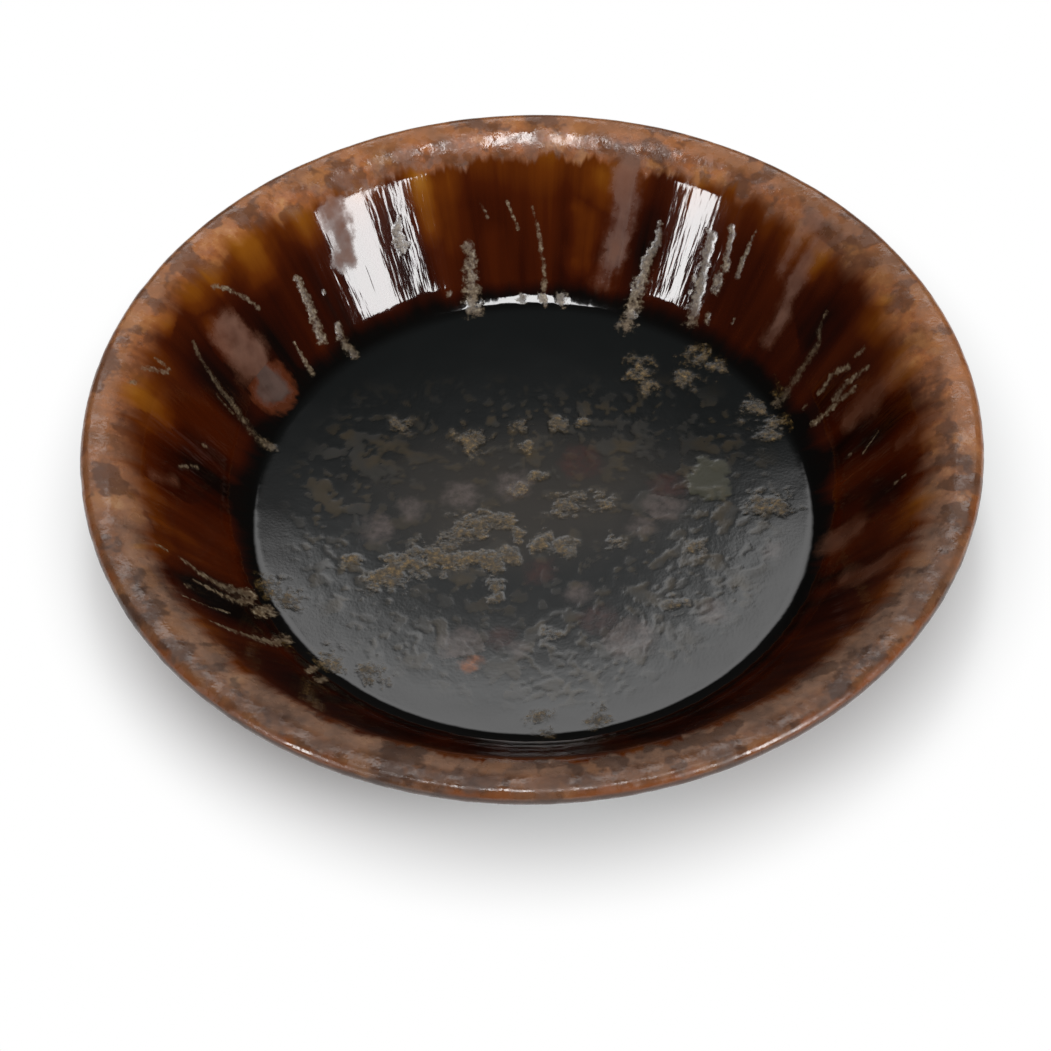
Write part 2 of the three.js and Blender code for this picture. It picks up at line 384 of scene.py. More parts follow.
# Straight ones: angle, both ends along the skin, half width, strength
STRAIGHT_AMBER = [
    (146.0, 125, 122, 4.0, 0.8), (117.0, 125, 121, 3.0, 0.5), (77.6, 117, 109, 3.6, 1.0),
    (76.0, 90, 86, 4.0, 0.8), (38.0, 119, 115, 3.0, 0.8), (35.0, 94, 86, 4.0, 0.32),
    (28.5, 128, 126, 2.6, 0.7), (22.0, 121, 116, 3.0, 0.6), (-2.5, 126, 123, 3.4, 0.6),
    (158.0, 127, 125, 3.2, 0.9), (150.5, 126, 122, 4.0, 0.7), (38.0, 131, 127, 5.0, -0.8),
    (31.0, 132, 129, 4.0, -0.7), (192.0, 128, 126, 4.4, 1.0), (201.0, 129, 128, 3.0, 0.9),
    (212.0, 131.5, 130.5, 2.6, 0.9), (228.0, 130, 128, 3.0, 0.8), (24.5, 128.5, 126, 3.8, 1.0),
    (-4.5, 133, 131, 3.4, 0.9), (18.0, 133, 132, 2.6, 0.8), (112.5, 130, 127, 3.0, -0.9),
    (103.5, 131, 130, 2.2, -0.9), (89.0, 131, 129, 2.4, -0.9), (182.0, 124, 106, 4.0, -0.3),
    (208.0, 120, 92, 8.0, -0.6), (32.0, 122, 100, 3.5, -0.4), (-8.0, 118, 100, 4.0, -0.6),
]
for angle, top, bottom, half_width, strength in STRAIGHT_AMBER:
    AMBER_WINDOWS.append((((angle, top), (angle, bottom)), half_width, half_width, strength))
print("amber windows:", len(AMBER_WINDOWS))


# %% Turn marks into points
MM = 0.001
MM_IN_METRE = 1000.0
POINT_SPACING = 0.5


def on_skin(angle, along):
    """The place on the mean skin, in metres."""
    radius, height, _ = skin(along)
    turn = math.radians(angle)
    return (radius * math.cos(turn) * MM, radius * math.sin(turn) * MM, height * MM)


def rows_along(path, first, last, strength=1.0):
    """Points at close spacing along a mark, with their half width and strength."""
    rows = []
    reach = len(path) - 1
    for leg in range(reach):
        (angle, along), (next_angle, next_along) = path[leg], path[leg + 1]
        count = max(2, int(abs(next_along - along) / POINT_SPACING) + 2)
        for share in np.linspace(0, 1, count):
            spot = on_skin(angle + (next_angle - angle) * share, along + (next_along - along) * share)
            rows.append((spot, first + (last - first) * (leg + share) / reach, strength))
    return rows


def point_object(name, places, carried):
    """A helper mesh of loose points that carry values, for Geometry Nodes to ask."""
    mesh = bpy.data.meshes.new(name)
    mesh.from_pydata(places, [], [])
    for title, values in carried.items():
        mesh.attributes.new(title, "FLOAT", "POINT").data.foreach_set("value", values)
    return placed(name, mesh)


def mark_object(name, rows):
    places, half_widths, strengths = zip(*rows)
    return point_object(name, places, {"half_width": half_widths, "strength": strengths})


run_and_glint_rows = [row for mark in RUNS_AND_PAINTED_GLINTS for row in rows_along(*mark)]
film_rows = [row for mark in HAZY_FILMS for row in rows_along(*mark)]
amber_rows = [row for mark in AMBER_WINDOWS for row in rows_along(*mark)]
print("points of runs, films and amber:", len(run_and_glint_rows), len(film_rows), len(amber_rows))


# %% [markdown]
# The floor has marks of its own, best placed on a plan: x to the right and y away from the camera.
# Gold crusts float on the black pool in clusters, and under the surface hang mauve, red and grey-green
# clouds. A cloud's strength doubles as its tone.

# %% Lay out the floor's marks
FLOOR_CRUSTS = [
    (-42, -22, 4.5), (-38, -20, 5.1), (-33, -17, 4.5), (-28, -14, 5.4), (-23, -9, 4.5), (-19, -5, 4.8),
    (-14, -3, 4.5), (-9, -2, 3.9), (-24, -16, 4.5), (-18, -15, 3.9), (-12, -16, 4.2), (-6, -14, 3.6),
    (-4, -7, 3.0), (2, -10, 4.2), (7, -12, 3.6), (-11, -24, 2.7), (-10, -29, 2.1), (9, 4, 4.2),
    (14, 6, 2.4), (19, 4, 3.0), (-4, 10, 2.7), (1, 14, 2.4), (-37, 33, 2.7), (-17, 28, 4.5), (-3, 33, 2.7),
    (-2, 25, 2.4), (8, 33, 2.7), (14, 34, 2.1), (0, -71, 3.6), (2, -76, 2.7), (16, -71, 3.3),
    (4, -42, 2.7), (-72, -28, 5.1), (-67, -31, 3.9), (-56, -52, 4.5), (-43, -55, 3.6), (-68, -47, 3.0),
    (63, 1, 3.9), (68, 0, 4.2), (44, -14, 3.3), (38, -33, 2.7), (32, 52, 4.2), (34, 46, 3.0), (48, 55, 4.5),
    (45, 48, 3.6), (53, 52, 3.0), (64, 35, 4.2), (70, 30, 4.8), (72, 39, 3.6), (67, 26, 3.3), (22, -10, 2.4),
    (-50, -16, 2.7),
]
MAUVE, RED, GREEN, ORANGE = 0.2, 0.4, 0.6, 0.8
FLOOR_CLOUDS = [
    (-20, 8, 4.6, MAUVE), (-5, 11, 4.6, MAUVE), (-43, -4, 4.8, MAUVE), (-34, 3, 3.6, MAUVE),
    (36, 2, 5.6, MAUVE), (-5, -47, 3.0, MAUVE), (25, -44, 7.0, MAUVE), (12, -28, 3.4, MAUVE),
    (30, -5, 3.2, MAUVE), (48, -36, 4.0, MAUVE), (67, -16, 3.6, MAUVE), (-19, -46, 6.6, MAUVE),
    (-17.5, -52, 2.2, ORANGE), (14, 19, 6.0, RED), (38, 9, 4.6, RED), (-9, -43, 4.0, RED),
    (17, -37, 5.0, RED), (2, -20, 4.0, RED), (49, 10, 6.6, GREEN), (50, 14, 5.0, GREEN),
]


def on_floor(x, y):
    return on_skin(math.degrees(math.atan2(y, x)), math.hypot(x, y))


crust_and_glint_rows = run_and_glint_rows + [(on_floor(x, y), radius, GOLD) for x, y, radius in FLOOR_CRUSTS]
cloud_rows = [(on_floor(x, y), radius, tone) for x, y, radius, tone in FLOOR_CLOUDS]
marks = {
    # The crust points also carry the few painted glint marks.
    "Crusts": mark_object("crust_points", crust_and_glint_rows),
    "Films": mark_object("film_points", film_rows),
    "Amber": mark_object("amber_points", amber_rows),
    "Clouds": mark_object("cloud_points", cloud_rows),
}
print("crust points:", len(crust_and_glint_rows), "cloud points:", len(cloud_rows))


# %% [markdown]
# ## Relief
#
# Fired glaze is never quite smooth. On the wall it runs down in fine ripples, which is what tears the
# edges of a reflected lamp into streaks. The lip is lumpy, thin flakes lie on the floor, and crusts
# stand about a tenth of a millimetre proud. A bump map would fool the light but not the outline, so the
# relief moves real points, and the same distances are kept on the mesh as attributes for the colours.

# %% Ask for the nearest mark
def stored(bench, title):
    """The value that the points of a mesh carry under a title."""
    return bench.node("GeometryNodeInputNamedAttribute", {"data_type": "FLOAT"}, {0: title})


def sampled(bench, source, index, field, data_type="FLOAT"):
    """A field's value at one point of another mesh."""
    sockets = {0: source, 1: field, 2: index}
    return bench.node("GeometryNodeSampleIndex", {"data_type": data_type}, sockets)


def sampled_place(bench, source, index):
    return sampled(bench, source, index, bench.node("GeometryNodeInputPosition"), "FLOAT_VECTOR")


def nearest_mark(bench, target, place):
    """Distance in mm to the nearest mark, with that mark's half width and strength."""
    index = bench.node("GeometryNodeSampleNearest", {"domain": "POINT"}, {0: target, 1: place})
    apart = {0: place, 1: sampled_place(bench, target, index)}
    distance = bench.node("ShaderNodeVectorMath", {"operation": "DISTANCE"}, apart, out=1) * MM_IN_METRE
    titles = ("half_width", "strength")
    return distance, *(sampled(bench, target, index, stored(bench, title)) for title in titles)


def streaks(bench, east, north, along, across, down, detail=1.0):
    """Noise drawn out down the slope. It closes on itself all the way round."""
    place = bench.vector(east * (100.0 / across), north * (100.0 / across), along * (1.0 / down))
    return bench.noise(place, 1.0, detail)


def on_run(bench, kind):
    """0 on the floor's gold crusts, 1 on the wall's full runs and less on its faint ones."""
    return bench.step(kind, 0.6, 0.9)


def crust_and_glint_cover(bench, spot, score, kind):
    """Share of the surface that is crust, or painted glint on a few short marks: ragged at a mark's edge and
    full of small holes.
    """
    torn_gold = bench.noise(spot, 3.4, 4.0, 0.7) * 2.5
    torn_run = bench.noise(spot, 2.2, 3.0, 0.6) * 2.2
    torn = bench.blend(on_run(bench, kind), torn_gold, torn_run)
    return bench.step(score + torn, -0.2, 0.6)


def is_green(bench, tone):
    """1 on the green clouds, which are crisp plates, and 0 on the hazy others."""
    return bench.step(tone, 0.5, 0.55) * bench.step(tone, 0.75, 0.7)


print("marks can be asked for")


# %% Write the relief as a sum
# Heights in millimetres
RIPPLE_HEIGHT, NEAR_DRIPS, FAR_DRIPS = 0.055, 0.5, 0.2
LIP_LUMPS, LIP_PIMPLES = 0.34, 0.15
FLAKE_HEIGHT, SWELL_HEIGHT, DIMPLE_HEIGHT = 0.010, 0.045, 0.014
GOLD_HEIGHT, RUN_HEIGHT, FILM_HEIGHT, PLATE_HEIGHT = 0.08, 0.09, 0.02, 0.02


def base_relief(bench, spot, east, north, along, wall, floor):
    """Ripples and drips on the wall, lumps on the lip, and flakes and swells on the floor."""
    ripples = streaks(bench, east, north, along, 1.5, 22.0) * RIPPLE_HEIGHT
    drip_height = bench.line(north, -0.4, 0.1, NEAR_DRIPS, FAR_DRIPS)
    drips = streaks(bench, east, north, along, 9.0, 50.0, 2.0) * drip_height
    lip = bench.noise(spot, 11.0) * LIP_LUMPS + bench.noise(spot, 4.0) * LIP_PIMPLES
    _, away, _ = bench.parts(spot)
    busy = bench.step(away, 54.0, 34.0) * bench.step(along, 74.0, 60.0)
    busy = busy * (bench.step(bench.noise(spot, 26.0, 1.0), -0.08, 0.08) * 0.45 + 0.55)
    flake = bench.step(bench.noise(spot, 6.4, 2.0), 0.05, 0.12)
    crumb = bench.step(bench.noise(spot, 3.4, 1.0), 0.07, 0.12)
    flake = (flake + crumb * (1.0 - flake) * 0.8) * busy
    dimples = bench.noise(spot, 5.0, 1.0) * DIMPLE_HEIGHT * busy
    swell = bench.noise(spot, 15.0, 1.0) * SWELL_HEIGHT + dimples
    height = wall * (ripples + drips) + floor * (flake * FLAKE_HEIGHT + swell)
    return height + (1.0 - floor) * (1.0 - wall) * lip, flake


def glaze_relief(bench, place, east, north, along, targets):
    """Height of the glaze over the mean skin in mm, and the masks that the colours share."""
    spot = bench.scaled(place, MM_IN_METRE)
    wall = bench.step(along, 80.0, 92.0) * bench.step(along, 128.0, 119.0)
    floor = bench.step(along, 84.0, 74.0)
    height, flake = base_relief(bench, spot, east, north, along, wall, floor)

    distance, half_width, kind = nearest_mark(bench, targets["Crusts"], place)
    share = distance / half_width
    score = bench.line(kind, GOLD, FULL, 0.42, 0.7) - share * bench.line(kind, GOLD, FULL, 0.45, 0.7)
    grain = bench.noise(spot, 0.9, 2.0) * 0.5 + 0.75
    crust_height = bench.line(kind, GOLD, FULL, GOLD_HEIGHT, RUN_HEIGHT)
    height = height + crust_and_glint_cover(bench, spot, score, kind) * grain * crust_height

    distance, half_width, strength = nearest_mark(bench, targets["Films"], place)
    drawn_out = streaks(bench, east, north, along, 2.4, 26.0, 2.0) * 3.5
    film_gap = distance - half_width + (bench.noise(spot, 8.0, 4.0, 0.65) * 8.0 + drawn_out)
    height = height + bench.step(film_gap, 1.0, -1.5) * FILM_HEIGHT * wall

    distance, half_width, amber_strength = nearest_mark(bench, targets["Amber"], place)
    reach = distance / half_width + bench.noise(spot, 9.0, 2.0) * 1.6
    amber = bench.step(reach, 2.1, 0.0) * amber_strength

    distance, half_width, tone = nearest_mark(bench, targets["Clouds"], place)
    cloud_gap = distance - half_width + bench.noise(spot, 4.4, 3.0, 0.65) * 8.0
    height = height + bench.step(cloud_gap, 0.6, -0.9) * is_green(bench, tone) * PLATE_HEIGHT * floor
    kept = {"crust_score": score, "crust_kind": kind, "film_gap": film_gap, "film_strength": strength,
            "amber": amber, "cloud_gap": cloud_gap, "cloud_tone": tone, "flake": flake}
    return height, kept


print("relief is ready")


# %% [markdown]
# ## Turning a skin
#
# A turned skin repeats one section round an axis. Spin or a Screw modifier would do that too, but here
# each point also needs the relief, so a Geometry Nodes group does both: a grid has one column for
# each turn and one row for each station of the section, and Set Position lays every grid point at its
# place. A disc turned this way has crowded points in the middle. The pool therefore bends a square grid
# into a disc, ring by ring, so its points lie evenly and its edge still meets the wall's own points.

# %% Lay a grid on the section
MARK_NAMES = ("Crusts", "Films", "Amber", "Clouds")
POOL_CELLS = 288
TURNS = POOL_CELLS * 4
SPARE_ROWS = 3
UNDER_ROWS = 12
SAME_PLACE = 1e-6


def strand_object(name, columns):
    """A section as loose points: x is the radius and z the height, with what each point carries."""
    radius, height, tilt, along, weight, spare = (np.asarray(column, float) for column in columns)
    places = [(r * MM, 0.0, z * MM) for r, z in zip(radius, height)]
    carried = {"along": along, "weight": weight, "spare": spare}
    return point_object(name, places, dict(carried, lean_out=np.sin(tilt), lean_up=np.cos(tilt)))


def lay_grid(bench, grid, strand, station, east, north, targets):
    """Puts each grid point at its station of the strand, turned to its side, with relief and masks."""
    index = station.math("ROUND", station)
    titles = ("along", "weight", "spare", "lean_out", "lean_up")
    at_station = (sampled(bench, strand, index, stored(bench, title)) for title in titles)
    along, weight, spare, lean_out, lean_up = at_station
    radius, _, height = bench.parts(sampled_place(bench, strand, index))
    place = bench.vector(radius * east, radius * north, height)
    rise, kept = glaze_relief(bench, place, east, north, along, targets)
    lift = rise * weight * MM
    reach = radius + lift * lean_out
    final = bench.vector(reach * east, reach * north, height + lift * lean_up)
    on_points = {"data_type": "FLOAT", "domain": "POINT"}
    for title, value in dict(kept, along=along, spare=spare).items():
        sockets = {0: grid, 2: title, 3: value}
        grid = bench.node("GeometryNodeStoreNamedAttribute", on_points, sockets)
    moved = bench.node("GeometryNodeSetPosition", {}, {0: grid, 2: final})
    return bench.node("GeometryNodeMergeByDistance", {}, {0: moved, 2: SAME_PLACE})


def turned_grid(bench, strand, turns, targets):
    count = bench.node("GeometryNodeAttributeDomainSize", {"component": "MESH"}, {0: strand})
    sizes = {0: 1.0, 1: 1.0, 2: turns + 1.0, 3: count}
    grid = bench.node("GeometryNodeMeshGrid", {}, sizes)
    x, y, _ = bench.parts(bench.node("GeometryNodeInputPosition"))
    angle = (x + 0.5) * (-2.0 * math.pi)
    station = (y + 0.5) * (count - 1.0)
    east, north = angle.math("COSINE", angle), angle.math("SINE", angle)
    return lay_grid(bench, grid, strand, station, east, north, targets)


def disc_grid(bench, strand, turns, targets):
    rings = turns / 8.0 + float(SPARE_ROWS)
    sizes = {0: 2.0, 1: 2.0, 2: rings * 2.0 + 1.0, 3: rings * 2.0 + 1.0}
    grid = bench.node("GeometryNodeMeshGrid", {}, sizes)
    x, y, _ = bench.parts(bench.node("GeometryNodeInputPosition"))
    far_x, far_y = x.math("ABSOLUTE", x), y.math("ABSOLUTE", y)
    wide = far_x.math("GREATER_THAN", far_x + 1e-5, far_y)
    lean = bench.blend(wide, x / y, y / x) * (math.pi / 4.0)
    side = bench.blend(wide, y.math("SIGN", y), x.math("SIGN", x))
    long, short = lean.math("COSINE", lean) * side, lean.math("SINE", lean) * side
    station = far_x.math("MAXIMUM", far_x, far_y) * rings
    east, north = bench.blend(wide, short, long), bench.blend(wide, long, short)
    return lay_grid(bench, grid, strand, station, east, north, targets)


print("a grid has", TURNS, "turns, or", POOL_CELLS, "cells a side on the pool")


# %% Build the turning group
def turning_group(name, outer):
    """A group that lays the outer skin, keeps its normals, trims it and closes it underneath."""
    tree = bpy.data.node_groups.new(name, "GeometryNodeTree")
    asked = ("Underside", *MARK_NAMES)
    kinds = {"Geometry": "Geometry", "Turns": "Int", **dict.fromkeys(asked, "Object")}
    kinds["Finish"] = "Material"
    for title, kind in kinds.items():
        tree.interface.new_socket(title, in_out="INPUT", socket_type="NodeSocket" + kind)
    tree.interface.new_socket("Geometry", in_out="OUTPUT", socket_type="NodeSocketGeometry")
    bench = Bench(tree)
    given = tree.nodes.new("NodeGroupInput")
    inputs = {socket.name: Wire(bench, socket) for socket in given.outputs if socket.name}
    shapes = {
        title: bench.node("GeometryNodeObjectInfo", {}, {0: inputs[title]}, out=4)
        for title in asked
    }
    skin_mesh = outer(bench, inputs["Geometry"], inputs["Turns"], shapes)
    normal = bench.node("GeometryNodeInputNormal")
    sockets = {0: skin_mesh, 2: "skin_normal", 3: normal}
    on_points = {"data_type": "FLOAT_VECTOR", "domain": "POINT"}
    skin_mesh = bench.node("GeometryNodeStoreNamedAttribute", on_points, sockets)
    trimmed = {0: skin_mesh, 1: stored(bench, "spare")}
    skin_mesh = bench.node("GeometryNodeDeleteGeometry", {"domain": "POINT"}, trimmed)
    under = turned_grid(bench, shapes["Underside"], inputs["Turns"], shapes)
    joined = bench.node("GeometryNodeJoinGeometry", {}, {0: under})
    tree.links.new(skin_mesh.socket, joined.socket.node.inputs[0])
    closed = bench.node("GeometryNodeMergeByDistance", {}, {0: joined, 2: SAME_PLACE * 2.0})
    smooth = bench.node("GeometryNodeSetShadeSmooth", {}, {0: closed, 2: True})
    whole = bench.node("GeometryNodeRealizeInstances", {}, {0: smooth})
    finished = bench.node("GeometryNodeSetMaterial", {}, {0: whole, 2: inputs["Finish"]})
    result = tree.nodes.new("NodeGroupOutput")
    tree.links.new(finished.socket, result.inputs[0])
    return tree


turned_skin = turning_group("turned_skin", turned_grid)
pooled_skin = turning_group("pooled_skin", disc_grid)
print("nodes in the groups:", len(turned_skin.nodes), len(pooled_skin.nodes))


# %% [markdown]
# ## Finishes
#
# Every coat is the same glass, so one function makes all four glaze materials. What changes from place to
# place is the depth of the glass. Thin glaze over pale clay is amber, a thicker coat is red-brown, and a
# deep one is nearly black. Colours are written as the eye reads them, from 0 to 255.

# %% Helpers for colours and masks
def paint(red, green, blue):
    """A colour as the eye reads it, turned into the linear values that a shader wants."""
    shares = (value / 255.0 for value in (red, green, blue))
    return (*((s / 12.92 if s <= 0.04045 else ((s + 0.055) / 1.055) ** 2.4) for s in shares), 1.0)


def carried_value(bench, title):
    return bench.node("ShaderNodeAttribute", {"attribute_name": title}, out=2)


def new_material(name):
    material = bpy.data.materials.new(name)
    material.use_nodes = True
    material.node_tree.nodes.clear()
    return material, Bench(material.node_tree)


def set_surface(bench, constants, varying):
    """A Principled surface: constants are set on it, and varying values are linked to it."""
    surface = bench.node("ShaderNodeBsdfPrincipled", {}, {**constants, **varying})
    bench.node("ShaderNodeOutputMaterial", {}, {0: surface})


print("colour helpers are ready")


# %% [markdown]
# The wall's colours follow one number, the depth of the glass: it grows down the slope, and broad and
# fine streaks vary it, just as runs do. One ramp gives the usual depth at each level and a second turns
# depth into colour. All colours need the same measures of a place, so one helper takes them.

# %% Colour the wall
TRAVEL_END = 210.0
DEPTH_STOPS = [
    (81, 1.0), (85, 0.84), (98, 0.80), (109, 0.73), (116, 0.56), (124, 0.42), (144, 0.46),
    (170, 0.66), (205, 0.84),
]
WALL_STOPS = [
    (0.0, paint(188, 130, 50)), (0.2, paint(142, 82, 18)), (0.4, paint(104, 48, 7)),
    (0.6, paint(72, 25, 4)), (0.8, paint(50, 13, 2)), (1.0, paint(14, 6, 4)),
]
Spot = namedtuple("Spot", "place east north along amber fine grain")


def measured_spot(bench):
    """Where a point lies on the bowl, in mm, and the noises that several colours share."""
    place = bench.scaled(bench.node("ShaderNodeTexCoord", out=3), MM_IN_METRE)
    flattened = {0: place, 1: (1.0, 1.0, 0.0)}
    level = bench.node("ShaderNodeVectorMath", {"operation": "MULTIPLY"}, flattened)
    outward = bench.node("ShaderNodeVectorMath", {"operation": "NORMALIZE"}, {0: level})
    east, north, _ = bench.parts(outward)
    along, amber = carried_value(bench, "along"), carried_value(bench, "amber")
    fine = streaks(bench, east, north, along, 1.8, 40.0, 2.0)
    return Spot(place, east, north, along, amber, fine, bench.noise(place, 0.8, 2.0))


def wall_colour(bench, at):
    broad = streaks(bench, at.east, at.north, at.along, 13.0, 80.0, 2.0)
    levels = [(along / TRAVEL_END, (depth, depth, depth, 1.0)) for along, depth in DEPTH_STOPS]
    usual = bench.ramp(at.along / TRAVEL_END, levels)
    depth = usual + broad * 0.9 + at.fine * 0.14 - at.amber * 0.34
    return bench.ramp(depth, WALL_STOPS)


print("wall colours:", len(WALL_STOPS), "over", len(DEPTH_STOPS), "levels")


# %% [markdown]
# On the lip the glass has run off and left a drier, mottled skin of tan and grey-brown. Two noises over
# one ramp give the mottle. Paler spots, dark blotches and a rusty outer edge with a dark line below
# lie over it. On the side towards the camera the lip is painted greyer, a painted sheen that stands in
# for the reflection of the bright panel behind. Inside, the dry skin ends in torn drips.

# %% Colour the lip
LIP_STOPS = [
    (0.0, paint(98, 60, 38)), (0.28, paint(128, 81, 53)), (0.45, paint(148, 94, 62)),
    (0.62, paint(170, 104, 62)), (0.8, paint(190, 126, 76)), (1.0, paint(212, 162, 106)),
]


def lip_colour(bench, at):
    place, along = at.place, at.along
    mottle = bench.noise(place, 9.0, 4.0, 0.6) * 1.6 + bench.noise(place, 2.4, 3.0) * 0.5
    mottle = mottle + at.amber * 0.3 + 0.42
    lip = bench.ramp(mottle, LIP_STOPS)
    upper = bench.step(along, 128.0, 131.0)
    # Painted reflection: the lip's camera side gets greyer colours, a painted sheen of the panel behind; its
    # spots and blotches are duller too.
    sheen_grey_dark = bench.mix(upper, paint(92, 75, 66), paint(58, 42, 35))
    sheen_grey_pale = bench.mix(upper, paint(158, 127, 105), paint(126, 90, 64))
    sheen_side = bench.step(at.north, 0.35, -0.55)
    lip = bench.mix(sheen_side * 0.8, lip, bench.mix(mottle, sheen_grey_dark, sheen_grey_pale))
    ragged = bench.noise(place, 4.0, 3.0, 0.6) * 1.1
    spots = bench.step(bench.cells(place, 12.0) + ragged, 0.44, 0.12)
    spots = spots * bench.line(sheen_side, 0.0, 1.0, 0.5, 0.4)
    lip = bench.mix(spots, lip, bench.mix(sheen_side, paint(190, 132, 80), paint(150, 104, 68)))
    crest = bench.step(along, 127.0, 131.0) * (1.0 - sheen_side)
    lip = bench.mix(crest * 0.45, lip, paint(194, 132, 86))
    blotch = bench.step(bench.noise(place, 11.0, 3.0, 0.6), 0.015, 0.085) * 0.66
    lip = bench.mix(blotch, lip, bench.mix(sheen_side, paint(96, 66, 52), paint(68, 50, 42)))
    greyer_here = bench.step(at.east, 0.45, 0.8) * bench.step(at.north, 0.1, 0.5)
    lip = bench.mix(greyer_here * 0.42, lip, paint(92, 62, 46))
    torn_edge = bench.noise(place, 4.0, 2.0) * 6.0
    rusty = bench.step(bench.noise(place, 18.0, 2.0), -0.14, 0.1)
    rusty = bench.step(along + torn_edge, 134.0, 136.6) * rusty
    lip = bench.mix(rusty * 0.8, lip, paint(128, 72, 36))
    below = bench.step(along + torn_edge * 0.15, 136.3, 137.5) * bench.step(along, 145.0, 140.5)
    return bench.mix(below * 0.8, lip, paint(50, 35, 28))


def lip_cover(bench, at):
    """Share of the surface that the lip's dry skin covers."""
    torn = streaks(bench, at.east, at.north, at.along, 5.0, 300.0, 2.0) * 12.0 + at.fine * 5.0
    lower_here = bench.step(at.north, 0.8, 0.96) * 2.6
    higher_here = bench.step(at.east, -0.62, -0.84) * bench.step(at.north, -0.16, 0.06) * 4.0
    sideways = at.east * at.east
    reach = at.along + torn + lower_here - higher_here
    inner = bench.step(reach, 121.8 - sideways * 6.0, 124.2 + sideways * 3.0)
    return inner * bench.step(at.along - torn * 0.6, 150.0, 146.0)


print("lip colours:", len(LIP_STOPS))


# %% [markdown]
# The floor's pool is black-green, and warmer in the middle. Dull flakes lie in it and clouds hang in
# it: hazy mauve and red ones, one orange spot and a crisp green plate. Its shore is nearly black.

# %% Colour the pool
CLOUD_STOPS = [
    (0.0, paint(102, 91, 87)), (0.2, paint(102, 91, 87)), (0.4, paint(66, 40, 36)),
    (0.6, paint(92, 91, 75)), (0.8, paint(184, 104, 44)), (1.0, paint(184, 104, 44)),
]


def pool_colour(bench, at):
    place, along = at.place, at.along
    x, y, _ = bench.parts(place)
    from_middle = x * x * 0.00035 + (y - 6.0) * (y - 6.0) * 0.0011
    warm = bench.step(from_middle + bench.noise(place, 16.0, 3.0), 1.1, 0.0)
    pool = bench.mix(warm * 0.75, paint(25, 27, 27), paint(56, 51, 45))
    greyer = bench.step(bench.noise(place, 9.0), -0.1, 0.1)
    flake_tone = bench.mix(greyer, paint(78, 67, 49), paint(66, 63, 58))
    pool = bench.mix(carried_value(bench, "flake") * 0.6, pool, flake_tone)
    gap, tone = carried_value(bench, "cloud_gap"), carried_value(bench, "cloud_tone")
    patchy = bench.line(bench.noise(place, 2.8, 3.0, 0.65), -0.14, 0.14, 0.3, 0.75)
    hazy, crisp = bench.step(gap, 2.0, -2.4) * patchy, bench.step(gap, 0.8, -0.8) * 0.5
    cloud = bench.blend(is_green(bench, tone), hazy, crisp)
    pool = bench.mix(cloud, pool, bench.ramp(tone, CLOUD_STOPS))
    far_shore, near_shore = bench.step(along, 74.0, 79.0), bench.step(along, 65.0, 72.0)
    shore = bench.blend(bench.step(at.north, 0.3, -0.3), far_shore, near_shore)
    return bench.mix(shore, pool, paint(9, 8, 7))


print("cloud colours:", len(CLOUD_STOPS))


# %% [markdown]
# Hazy films are thin veils of a second, duller glass, and the strongest one has a warm ring. Crusts are
# dry mineral: grey-tan on the wall and gold on the floor, worn through in places. A few short grey-tan
# marks on the wall are painted glints, small painted highlights in crust colour. Films and crusts lie
# over all other colours, so each function takes the colour so far and returns it with its own share on top.

# %% Lay films and crusts over the glaze
CRUST_AND_GLINT_STOPS = [
    (0.0, paint(52, 37, 26)), (0.35, paint(98, 80, 60)), (0.6, paint(128, 110, 86)),
    (1.0, paint(182, 168, 144)),
]
GOLD_STOPS = [
    (0.0, paint(30, 25, 18)), (0.4, paint(76, 61, 36)), (0.65, paint(116, 92, 50)),
    (1.0, paint(172, 139, 82)),
]


def with_films(bench, at, colour):
    gap, strength = carried_value(bench, "film_gap"), carried_value(bench, "film_strength")
    sheer = bench.line(bench.noise(at.place, 6.0, 3.0), -0.16, 0.16, 0.6, 1.0)
    film = bench.step(gap + at.grain * 1.6, 1.6, -3.0) * strength * sheer
    ringed = bench.step(strength, 0.92, 0.98)
    ring = bench.step(gap, -2.4, -0.9) * bench.step(gap, 1.6, -0.2) * ringed
    paler = bench.noise(at.place, 7.0, 3.0) * 1.8 + 0.5
    hazy = bench.mix(paler, paint(112, 65, 40), paint(142, 98, 76))
    hazy = bench.mix(ringed * 0.8, hazy, paint(84, 64, 56))
    colour = bench.mix(film * 0.8, colour, hazy)
    return bench.mix(ring * 0.55, colour, paint(106, 50, 22)), film


def with_crusts_and_glints(bench, at, colour):
    kind = carried_value(bench, "crust_kind")
    crust = crust_and_glint_cover(bench, at.place, carried_value(bench, "crust_score"), kind)
    shade = bench.noise(at.place, 1.1, 3.0, 0.6) * 2.0 + 0.5
    # The grey-tan ramp also paints the few glint marks, as painted highlights.
    gold, grey = bench.ramp(shade, GOLD_STOPS), bench.ramp(shade, CRUST_AND_GLINT_STOPS)
    faint = bench.step(kind, 0.6, 0.75) * bench.step(kind, 0.95, 0.85)
    worn_through = bench.line(bench.noise(at.place, 6.0, 2.0), -0.14, 0.14, 0.45, 0.9)
    worn_through = worn_through * (1.0 - faint * 0.4)
    return bench.mix(crust * worn_through, colour, bench.mix(on_run(bench, kind), gold, grey)), crust


print("crust colours:", len(CRUST_AND_GLINT_STOPS), "and", len(GOLD_STOPS))


# %% [markdown]
# One material puts these together. Roughness tells wet glass from dry skin, film and crust. Pores and
# the finest ripples are too small for the mesh, so a Bump node gives those alone.

# %% Mix the glaze
GLASS_IOR = 1.55
WET_ROUGHNESS, FILM_ROUGHNESS, CRUST_ROUGHNESS = 0.06, 0.68, 0.38


